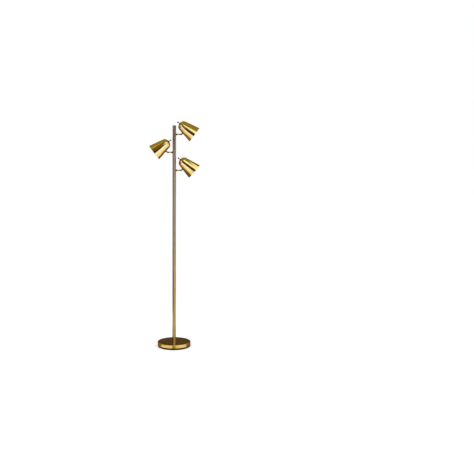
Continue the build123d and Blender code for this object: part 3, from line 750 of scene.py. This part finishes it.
def makeArm(head):
    # a tube with a ring round it that meets the collar, then the fork and its screw
    place = armPlaces[head]
    body = f"{head}_arm"
    low, high, ring = extent(f"{head}_arm_tube", place)
    outside, inside, ease = arm["outside"], arm["inside"], arm["ringRound"]
    near, far = arm["ringLevel"], arm["ringLevel"] + arm["ringWidth"]
    tube = turnedPiece(f"{head}.armTube", [
        (inside, low, 0), (outside, low, 0), (outside, near, 0), (ring, near, ease), (ring, far, ease),
        (outside, far, 0), (outside, high, 0), (inside, high, 0),
    ], place, armBrass[head], closed=True, facets=arm["facets"])
    finishPiece(tube, body, "arm_brass", f"{head}_arm_tube")
    easedCopy(f"{head}.knuckleFork", f"{head}_knuckle_fork", body, "dark_bronze", bronze, knuckle["fork"])
    easedCopy(f"{head}.knuckleScrew", f"{head}_knuckle_screw", body, "steel", steel, knuckle["screw"])


shade = {
    "wall": 0.9, "lip": 0.42, "shoulderRadius": 32.4, "shoulderLevel": 124.0, "shoulderRound": 30.0,
    "crownRadius": 8.0, "crownRound": 40.0, "segments": 192,
}


def insetCorner(before, corner, after, wall):
    # where a corner of the outside moves to on the inside of the wall
    sides = []
    for start, end in ((before, corner), (corner, after)):
        along = (Vector(end) - Vector(start)).normalized()
        sides.append(Vector((-along.y, along.x)))
    first, second = sides
    return Vector(corner) + (first + second) * (wall / (1 + first.dot(second)))


def makeShade(head):
    # a spun cone, brass outside and white inside, then the knuckle's tongue and its nut
    place = shadePlaces[head]
    body = f"{head}_head"
    length, mouth = extent(f"{head}_shade", place)[1:]
    wall = shade["wall"]
    shoulder = (shade["shoulderRadius"], shade["shoulderLevel"])
    crown = (shade["crownRadius"], length)
    insideShoulder = insetCorner((mouth, 0), shoulder, crown, wall)
    insideCrown = insetCorner(shoulder, crown, (0, length), wall)
    slope = atan2(mouth - shoulder[0], shoulder[1])
    sizes = {
        "Mouth Radius": mouth, "Inside Mouth Radius": mouth - wall / cos(slope), "Lip": shade["lip"],
        "Shoulder Radius": shoulder[0], "Inside Shoulder Radius": insideShoulder.x,
        "Shoulder Level": shoulder[1], "Inside Shoulder Level": insideShoulder.y,
        "Shoulder Rounding": shade["shoulderRound"],
        "Crown Radius": crown[0], "Length": length, "Crown Rounding": shade["crownRound"],
        "Inside Crown Radius": insideCrown.x, "Inside Length": insideCrown.y,
    }
    settings = {"Segments": shade["segments"], "Outside": shadeBrass[head], "Inside": whiteEnamel}
    piece = growPiece(f"{head}.spunShade", spunShadeTree, sizes, settings, place)
    finishPiece(piece, body, "shade_brass", f"{head}_shade")
    easedCopy(f"{head}.knuckleTongue", f"{head}_knuckle_tongue", body,
        "dark_bronze", bronze, knuckle["tongue"])
    easedCopy(f"{head}.stemNut", f"{head}_stem_nut", body, "steel", steel, knuckle["nut"])


holder = {
    "socketRadius": 13.2, "socketDepth": 26.0, "socketRound": 0.4, "mouthRound": 1.4,
    "grooveFoot": 9.0, "grooveTop": 13.0, "grooveDepth": 1.0, "grooveRound": 0.6,
    "barrelLength": 46.0, "barrelRound": 1.2, "neckRadius": 7.5, "neckFoot": 50.0, "neckTop": 56.0,
    "neckFootRound": 0.8, "threadRadius": 5.0, "threadRound": 0.2, "facets": 96, "nutEasing": 0.2,
}


def makeHolder(head):
    # a moulded barrel, grooved and socketed; its thread leaves through the shade's closed end
    place = shadePlaces[head]
    body = f"{head}_head"
    low, high, radius = extent(f"{head}_lamp_holder", place)
    socket, bottom = holder["socketRadius"], low + holder["socketDepth"]
    grooveFoot, grooveTop = low + holder["grooveFoot"], low + holder["grooveTop"]
    depth, ease = holder["grooveDepth"], holder["grooveRound"]
    neck, neckFoot, neckTop = holder["neckRadius"], low + holder["neckFoot"], low + holder["neckTop"]
    thread, threadRound = holder["threadRadius"], holder["threadRound"]
    piece = turnedPiece(f"{head}.lampHolder", [
        (0, bottom, 0), (socket, bottom, 0), (socket, low, holder["socketRound"]),
        (radius, low, holder["mouthRound"]), (radius, grooveFoot, ease),
        (radius - depth, grooveFoot + depth, ease), (radius - depth, grooveTop - depth, ease),
        (radius, grooveTop, ease), (radius, low + holder["barrelLength"], holder["barrelRound"]),
        (neck, neckFoot, holder["neckFootRound"]), (neck, neckTop, threadRound), (thread, neckTop, 0),
        (thread, high, threadRound), (0, high, 0),
    ], place, holderPlastic, facets=holder["facets"])
    finishPiece(piece, body, "holder_plastic", f"{head}_lamp_holder")
    easedCopy(f"{head}.switchNut", f"{head}_switch_nut", body,
        "switch_metal", knobBronze, holder["nutEasing"])


bulb = {
    "collarRadius": 14.5, "collarLength": 2.0, "collarRound": 3.0, "topRound": 0.3,
    "bowlLength": 30.0, "bowlRound": 8.0, "rimRound": 1.5,
    "lensSeatRadius": 23.0, "lensSeatDepth": 4.0, "lensSeatRound": 0.2, "facets": 96,
}
lens = {"flatShare": 0.55, "flatRise": 0.15, "flatRound": 12.0, "edgeRise": 2.0, "edgeRound": 1.2}


def makeBulb(head):
    # a silvered reflector that opens towards the mouth, the frosted lens in it, and its screw cap
    place = shadePlaces[head]
    body = f"{head}_head"
    low, high, radius = extent(f"{head}_bulb_body", place)
    collar, seat, seatLevel = bulb["collarRadius"], bulb["lensSeatRadius"], low + bulb["lensSeatDepth"]
    reflector = turnedPiece(f"{head}.bulbBody", [
        (0, high, 0), (collar, high, bulb["topRound"]),
        (collar, high - bulb["collarLength"], bulb["collarRound"]),
        (radius, high - bulb["bowlLength"], bulb["bowlRound"]), (radius, low, bulb["rimRound"]),
        (seat, low, bulb["lensSeatRound"]), (seat, seatLevel, 0), (0, seatLevel, 0),
    ], place, bulbSilver, facets=bulb["facets"])
    finishPiece(reflector, body, "bulb_silver", f"{head}_bulb_body")
    low, high, radius = extent(f"{head}_bulb_lens", place)
    glass = turnedPiece(f"{head}.bulbLens", [
        (0, low, 0), (radius * lens["flatShare"], low + lens["flatRise"], lens["flatRound"]),
        (radius, low + lens["edgeRise"], lens["edgeRound"]), (radius, high, 0), (0, high, 0),
    ], place, lensGlass, facets=bulb["facets"])
    finishPiece(glass, body, "opal_glass", f"{head}_bulb_lens")
    easedCopy(f"{head}.bulbCap", f"{head}_bulb_cap", body, "bulb_metal", bulbSilver, 0)


knob = {"length": 10.0, "edge": 0.9, "fluteDepth": 0.85, "fluteFade": 1.4, "flutes": 8, "segments": 128}
spindle = {"radius": 2.0, "seat": 1.0, "tipRound": 0.2, "facets": 48}


def makeKnob(head):
    # the fluted grip, and the spindle that it turns on
    place = shadePlaces[head]
    body = f"{head}_knob"
    low, high, radius = extent(f"{head}_switch_knob", place)
    foot = high - knob["length"]
    sizes = {
        "Radius": radius, "Foot": foot, "Top": high, "Edge": knob["edge"],
        "Flute Depth": knob["fluteDepth"], "Flute Fade": knob["fluteFade"],
    }
    settings = {"Flutes": knob["flutes"], "Segments": knob["segments"], "Material": knobBronze}
    grip = growPiece(f"{head}.knobGrip", flutedTree, sizes, settings, place)
    finishPiece(grip, body, "switch_metal", f"{head}_switch_knob")
    inner, end = spindle["radius"], foot + spindle["seat"]
    pin = turnedPiece(f"{head}.knobSpindle", [
        (0, low, 0), (inner, low, spindle["tipRound"]), (inner, end, 0), (0, end, 0),
    ], place, knobBronze, facets=spindle["facets"])
    finishPiece(pin, body, "switch_metal")


for head in heads:
    makeArm(head)
    makeShade(head)
    makeHolder(head)
    makeBulb(head)
    makeKnob(head)
print("heads made")

# These pieces don't show from outside: they keep their CAD mesh, and only get their finish.
hiddenFinish = {
    "plate_screws": steel, "base_weight": iron, "base_stud": steel, "base_washer": steel, "base_nut": steel,
    "foot_plug": steel, "pole_couplers": steel, "pole_inserts": steel,
    **{f"{head}_arm_nut": steel for head in heads},
}
for node, material in hiddenFinish.items():
    materials = frame["nodes"][node].data.materials
    materials.clear()
    materials.append(material)
print("hidden pieces finished")

room = {"floorSize": 30.0, "ambient": 0.8, "background": 1.0, "floorLift": 0.38}  # floorSize in metres
floorLook = {"dark": paint(232, 232, 231), "light": paint(235, 235, 234), "mottle": 3.0}
white = (1, 1, 1, 1)


def seenDirectly(tree):
    # 1 for what the camera sees, also in metal and through glass, and 0 for what lights the lamp
    path = put(tree, "ShaderNodeLightPath").outputs
    mirrored = calc(tree, "MAXIMUM", path["Is Glossy Ray"], path["Is Transmission Ray"])
    return calc(tree, "MAXIMUM", path["Is Camera Ray"], mirrored)


def makeWorld():
    world = bpy.data.worlds.new("studio")
    bpy.context.scene.world = world
    world.use_nodes = True
    tree = world.node_tree
    tree.nodes.clear()
    ambient = put(tree, "ShaderNodeBackground", {"Color": white, "Strength": room["ambient"]}).outputs[0]
    shown = put(tree, "ShaderNodeBackground", {"Color": white, "Strength": room["background"]}).outputs[0]
    mixed = put(tree, "ShaderNodeMixShader", {0: seenDirectly(tree), 1: ambient, 2: shown}).outputs[0]
    put(tree, "ShaderNodeOutputWorld", {"Surface": mixed})


def makeFloor():
    # a pale floor, lifted to white where it is seen, which keeps the lamp's shadow
    half = room["floorSize"] / 2
    mesh = bpy.data.meshes.new("floor")
    corners = [(-half, -half, 0), (half, -half, 0), (half, half, 0), (-half, half, 0)]
    mesh.from_pydata(corners, [], [(0, 1, 2, 3)])
    material, tree, vector, shader = newMaterial("paleFloor", Roughness=0.7, Specular_IOR_Level=0.2)
    mottle = noise(tree, vector, floorLook["mottle"], 2.0)
    wire(tree, shader, {"Base Color": blendColours(tree, mottle, floorLook["dark"], floorLook["light"])})
    strength = calc(tree, "MULTIPLY", seenDirectly(tree), room["floorLift"])
    lift = put(tree, "ShaderNodeEmission", {"Color": white, "Strength": strength}).outputs[0]
    total = put(tree, "ShaderNodeAddShader", {0: shader.outputs[0], 1: lift}).outputs[0]
    wire(tree, tree.nodes["Material Output"], {"Surface": total})
    newPiece("floor", mesh, material)


# Cards give the brass what it mirrors, as a photographer sets them round metal. Each is a patch of a sphere
# about the heads, in degrees round from the camera's side and up from level. Its brightness in red, green and
# blue goes from tone at one side to toneEnd at the other, and soft is the share that fades along each edge.
cards = {
    "canopy": {
        "around": 180, "up": 55, "width": 160, "height": 132, "turn": 0,
        "tone": (0.34, 0.32, 0.06), "soft": (0.04, 0.04)},
    "leftCanopy": {
        "around": -14, "up": 41, "width": 72, "height": 52,
        "tone": (0.25, 0.19, 0.02), "toneEnd": (0.2, 0.13, 0.02), "soft": (0.06, 0.06)},
    "crownCard": {
        "around": -52, "up": 62, "width": 20, "height": 14, "turn": 0,
        "tone": (0.75, 0.62, 0.4), "soft": (0.3, 0.3)},
    "rearCard": {
        "around": 180, "up": 0, "width": 70, "height": 50,
        "tone": (0.1, 0.07, 0.03), "soft": (0.15, 0.15)},
    "rearLeftFlag": {
        "around": -146, "up": 12, "width": 56, "height": 62,
        "tone": (0.16, 0.1, 0.02), "soft": (0.15, 0.15)},
    "rearRightFlag": {
        "around": 146, "up": 12, "width": 56, "height": 62,
        "tone": (0.16, 0.1, 0.02), "soft": (0.15, 0.15)},
    "rightStrip": {
        "around": 60, "up": -16, "width": 78, "height": 34, "turn": -24,
        "tone": (1.15, 1.8, 3.3), "toneEnd": (1.0, 1.2, 1.8), "soft": (0.06, 0.2)},
    "leftStrip": {
        "around": -38, "up": -8, "width": 34, "height": 22, "turn": 50,
        "tone": (1.2, 1.45, 2.0), "toneEnd": (1.3, 1.7, 2.8), "soft": (0.15, 0.2)},
    "sideFlag": {
        "around": -86, "up": -9, "width": 62, "height": 30,
        "tone": (0.14, 0.09, 0.05), "soft": (0.1, 0.12)},
    "poleFlag": {
        "around": 13, "up": -10, "width": 14, "height": 28,
        "tone": (0.1, 0.06, 0.03), "soft": (0.2, 0.06)},
}
# The first card stands past the place of the other views' camera, and each next one a step nearer, in metres.
cardRing = {"reach": 3.4, "step": 0.03, "level": 1.4, "columns": 24, "rows": 16}

# Panels are flat cards near the lamp: their first two corners, then the two across from them, in metres.
panels = {
    "leftFlag": {
        "corners": [(-0.75, 3.6, 0.05), (-0.75, -1.1, 0.05), (-0.75, 3.6, 1.25), (-0.75, 0.1, 1.25)],
        "tone": (0.03, 0.02, 0.0), "toneEnd": (0.33, 0.28, 0.09), "soft": (0.06, 0.12)},
    "lowFlag": {
        "corners": [(-0.72, 3.6, 0.03), (-0.72, -1.0, 0.03), (-0.72, 3.6, 0.85), (-0.72, -0.45, 0.74)],
        "tone": (0.04, 0.02, 0.0), "toneEnd": (0.17, 0.1, 0.01), "soft": (0.08, 0.16)},
    "rightFlag": {
        "corners": [(0.8, 0.15, 0.05), (0.8, 3.6, 0.05), (0.8, 0.15, 1.25), (0.8, 3.6, 1.25)],
        "tone": (0.17, 0.17, 0.07), "toneEnd": (0.05, 0.03, 0.01), "soft": (0.06, 0.12)},
    "browFlag": {
        "corners": [(-0.6, -0.9, 1.34), (0.32, -0.9, 1.46), (-0.6, -0.9, 1.82), (0.32, -0.9, 1.76)],
        "tone": (0.0, 0.0, 0.0), "toneEnd": (0.04, 0.02, 0.0), "soft": (0.08, 0.1)},
    "overheadSoftbox": {
        "corners": [(0.02, -0.84, 1.9), (0.6, -1.0, 1.9), (-0.08, -0.33, 1.9), (0.6, -0.33, 1.9)],
        "tone": (1.4, 2.0, 2.6), "toneEnd": (1.2, 1.5, 1.5), "soft": (0.06, 0.1)},
    "sideSoftbox": {
        "corners": [(0.36, -0.36, 1.9), (0.7, -0.36, 1.9), (0.36, 0.14, 1.9), (0.7, 0.14, 1.9)],
        "tone": (1.3, 1.35, 1.5), "toneEnd": (1.7, 1.85, 2.1), "soft": (0.1, 0.08)},
    "rearFlag": {
        "corners": [(1.1, 0.6, 1.7), (0.15, 0.6, 1.7), (1.1, 0.6, 2.15), (0.15, 0.6, 2.15)],
        "tone": (0.1, 0.08, 0.04), "soft": (0.1, 0.16)},
    "frontFloorFlag": {
        "corners": [
            (-0.029, -0.115, 0.001), (0.016, -0.115, 0.001), (-0.066, -0.3, 0.001), (0.038, -0.3, 0.001)],
        "tone": (0.5, 0.42, 0.12), "toneEnd": (0.46, 0.36, 0.09), "soft": (0.16, 0.02)},
    "leftFloorFlag": {
        "corners": [(-0.5, 0.5, 0.001), (-0.02, 0.3, 0.001), (-0.5, -0.12, 0.001), (-0.105, -0.09, 0.001)],
        "tone": (0.25, 0.18, 0.04), "toneEnd": (0.3, 0.22, 0.05), "soft": (0.02, 0.1)},
    "rightFloorFlag": {
        "corners": [(0.02, 0.3, 0.001), (0.5, 0.5, 0.001), (0.1, -0.09, 0.001), (0.5, -0.12, 0.001)],
        "tone": (0.3, 0.22, 0.05), "toneEnd": (0.25, 0.18, 0.04), "soft": (0.02, 0.1)},
}


def cardMaterial(name, tone, toneEnd, soft):
    # a glow on the side that faces the lamp, faded at its edges, and clear from behind
    material = bpy.data.materials.new(name)
    material.use_nodes = True
    tree = material.node_tree
    tree.nodes.clear()
    place = split(tree, put(tree, "ShaderNodeUVMap", uv_map="card").outputs[0])
    cover = calc(tree, "SUBTRACT", 1.0, put(tree, "ShaderNodeNewGeometry").outputs["Backfacing"])
    for axis, fadeWidth in zip("XY", soft):
        fromMiddle = calc(tree, "ABSOLUTE", calc(tree, "SUBTRACT", place[axis], 0.5))
        fade = mapRange(tree, calc(tree, "SUBTRACT", 0.5, fromMiddle), 0.0, fadeWidth, smooth=True)
        cover = calc(tree, "MULTIPLY", cover, fade)
    clear = put(tree, "ShaderNodeBsdfTransparent").outputs[0]
    colour = blendColours(tree, place["X"], (*tone, 1), (*toneEnd, 1))
    glow = put(tree, "ShaderNodeEmission", {"Color": colour, "Strength": 1.0}).outputs[0]
    mixed = put(tree, "ShaderNodeMixShader", {0: cover, 1: clear, 2: glow}).outputs[0]
    put(tree, "ShaderNodeOutputMaterial", {"Surface": mixed})
    return material


def showCard(name, columns, rows, corners, tone, soft, toneEnd=None):
    # a card, given as the corners of its faces row by row, which only reflections see
    faces = []
    for row in range(rows):
        for column in range(columns):
            first = row * (columns + 1) + column
            faces.append((first, first + columns + 1, first + columns + 2, first + 1))
    mesh = bpy.data.meshes.new(name)
    mesh.from_pydata(corners, [], faces)
    layer = mesh.uv_layers.new(name="card")
    for loop in mesh.loops:
        row, column = divmod(loop.vertex_index, columns + 1)
        layer.data[loop.index].uv = (column / columns, row / rows)
    card = newPiece(name, mesh, cardMaterial(name, tone, toneEnd or tone, soft))
    card.visible_camera = False
    card.visible_diffuse = False
    card.visible_shadow = False
    card.visible_transmission = False


def addCard(name, reach, around, up, width, height, turn=None, **look):
    # with a turn, the patch is made straight ahead and turned into place; without, it is a strip of the globe
    columns, rows = cardRing["columns"], cardRing["rows"]
    points = []
    for row in range(rows + 1):
        for column in range(columns + 1):
            side = radians(width * (column / columns - 0.5))
            rise = radians(height * (row / rows - 0.5))
            if turn is None:
                side += radians(around)
                rise += radians(up)
            point = Vector((sin(side) * cos(rise), -cos(side) * cos(rise), sin(rise)))
            if turn is not None:
                point.rotate(Matrix.Rotation(radians(-turn), 3, "Y"))
                point.rotate(Matrix.Rotation(radians(-up), 3, "X"))
                point.rotate(Matrix.Rotation(radians(around), 3, "Z"))
            points.append(point * reach + Vector((0, 0, cardRing["level"])))
    showCard(name, columns, rows, points, **look)


lamps = {  # places and sizes in metres, power in watts
    "rightSoftbox": {"location": (2.6, -2.6, 1.5), "size": (1.6, 3.0), "power": 24},
    "leftSoftbox": {"location": (-2.4, -3.0, 1.5), "size": (0.9, 2.6), "power": 8},
    "topSoftbox": {"location": (0.5, -1.6, 3.8), "size": (1.2, 1.6), "power": 10},
}
lampTarget = (0, 0, 1.4)


def addLamp(name, location, size, power):
    # lights the lamp, and stays out of its reflections, which are the cards' work
    data = bpy.data.lights.new(name, "AREA")
    data.shape = "RECTANGLE"
    data.size, data.size_y = size
    data.energy = power
    lamp = bpy.data.objects.new(name, data)
    lamp.location = location
    lamp.rotation_euler = (Vector(lampTarget) - Vector(location)).to_track_quat("-Z", "Y").to_euler()
    lamp.visible_glossy = False
    bpy.context.scene.collection.objects.link(lamp)


camera = {
    "distance": 5.66, "height": 1.523,  # metres
    "pitch": 7.207, "yaw": 4.498, "roll": -0.63,  # degrees
    "lens": 60.03, "film": 36,  # millimetres
}


def makeCamera():
    data = bpy.data.cameras.new("camera")
    data.lens = camera["lens"]
    data.sensor_width = camera["film"]
    view = bpy.data.objects.new("camera", data)
    view.location = (0, -camera["distance"], camera["height"])
    view.rotation_euler = (radians(90 - camera["pitch"]), radians(camera["roll"]), radians(-camera["yaw"]))
    bpy.context.scene.collection.objects.link(view)
    bpy.context.scene.camera = view


makeWorld()
makeFloor()
for name, lamp in lamps.items():
    addLamp(name, **lamp)
for number, (name, card) in enumerate(cards.items()):
    addCard(name, cardRing["reach"] - cardRing["step"] * number, **card)
for name, panel in panels.items():
    showCard(name, 1, 1, **panel)
makeCamera()
bpy.context.scene.view_settings.view_transform = "Standard"
print("room, lamps and camera made")
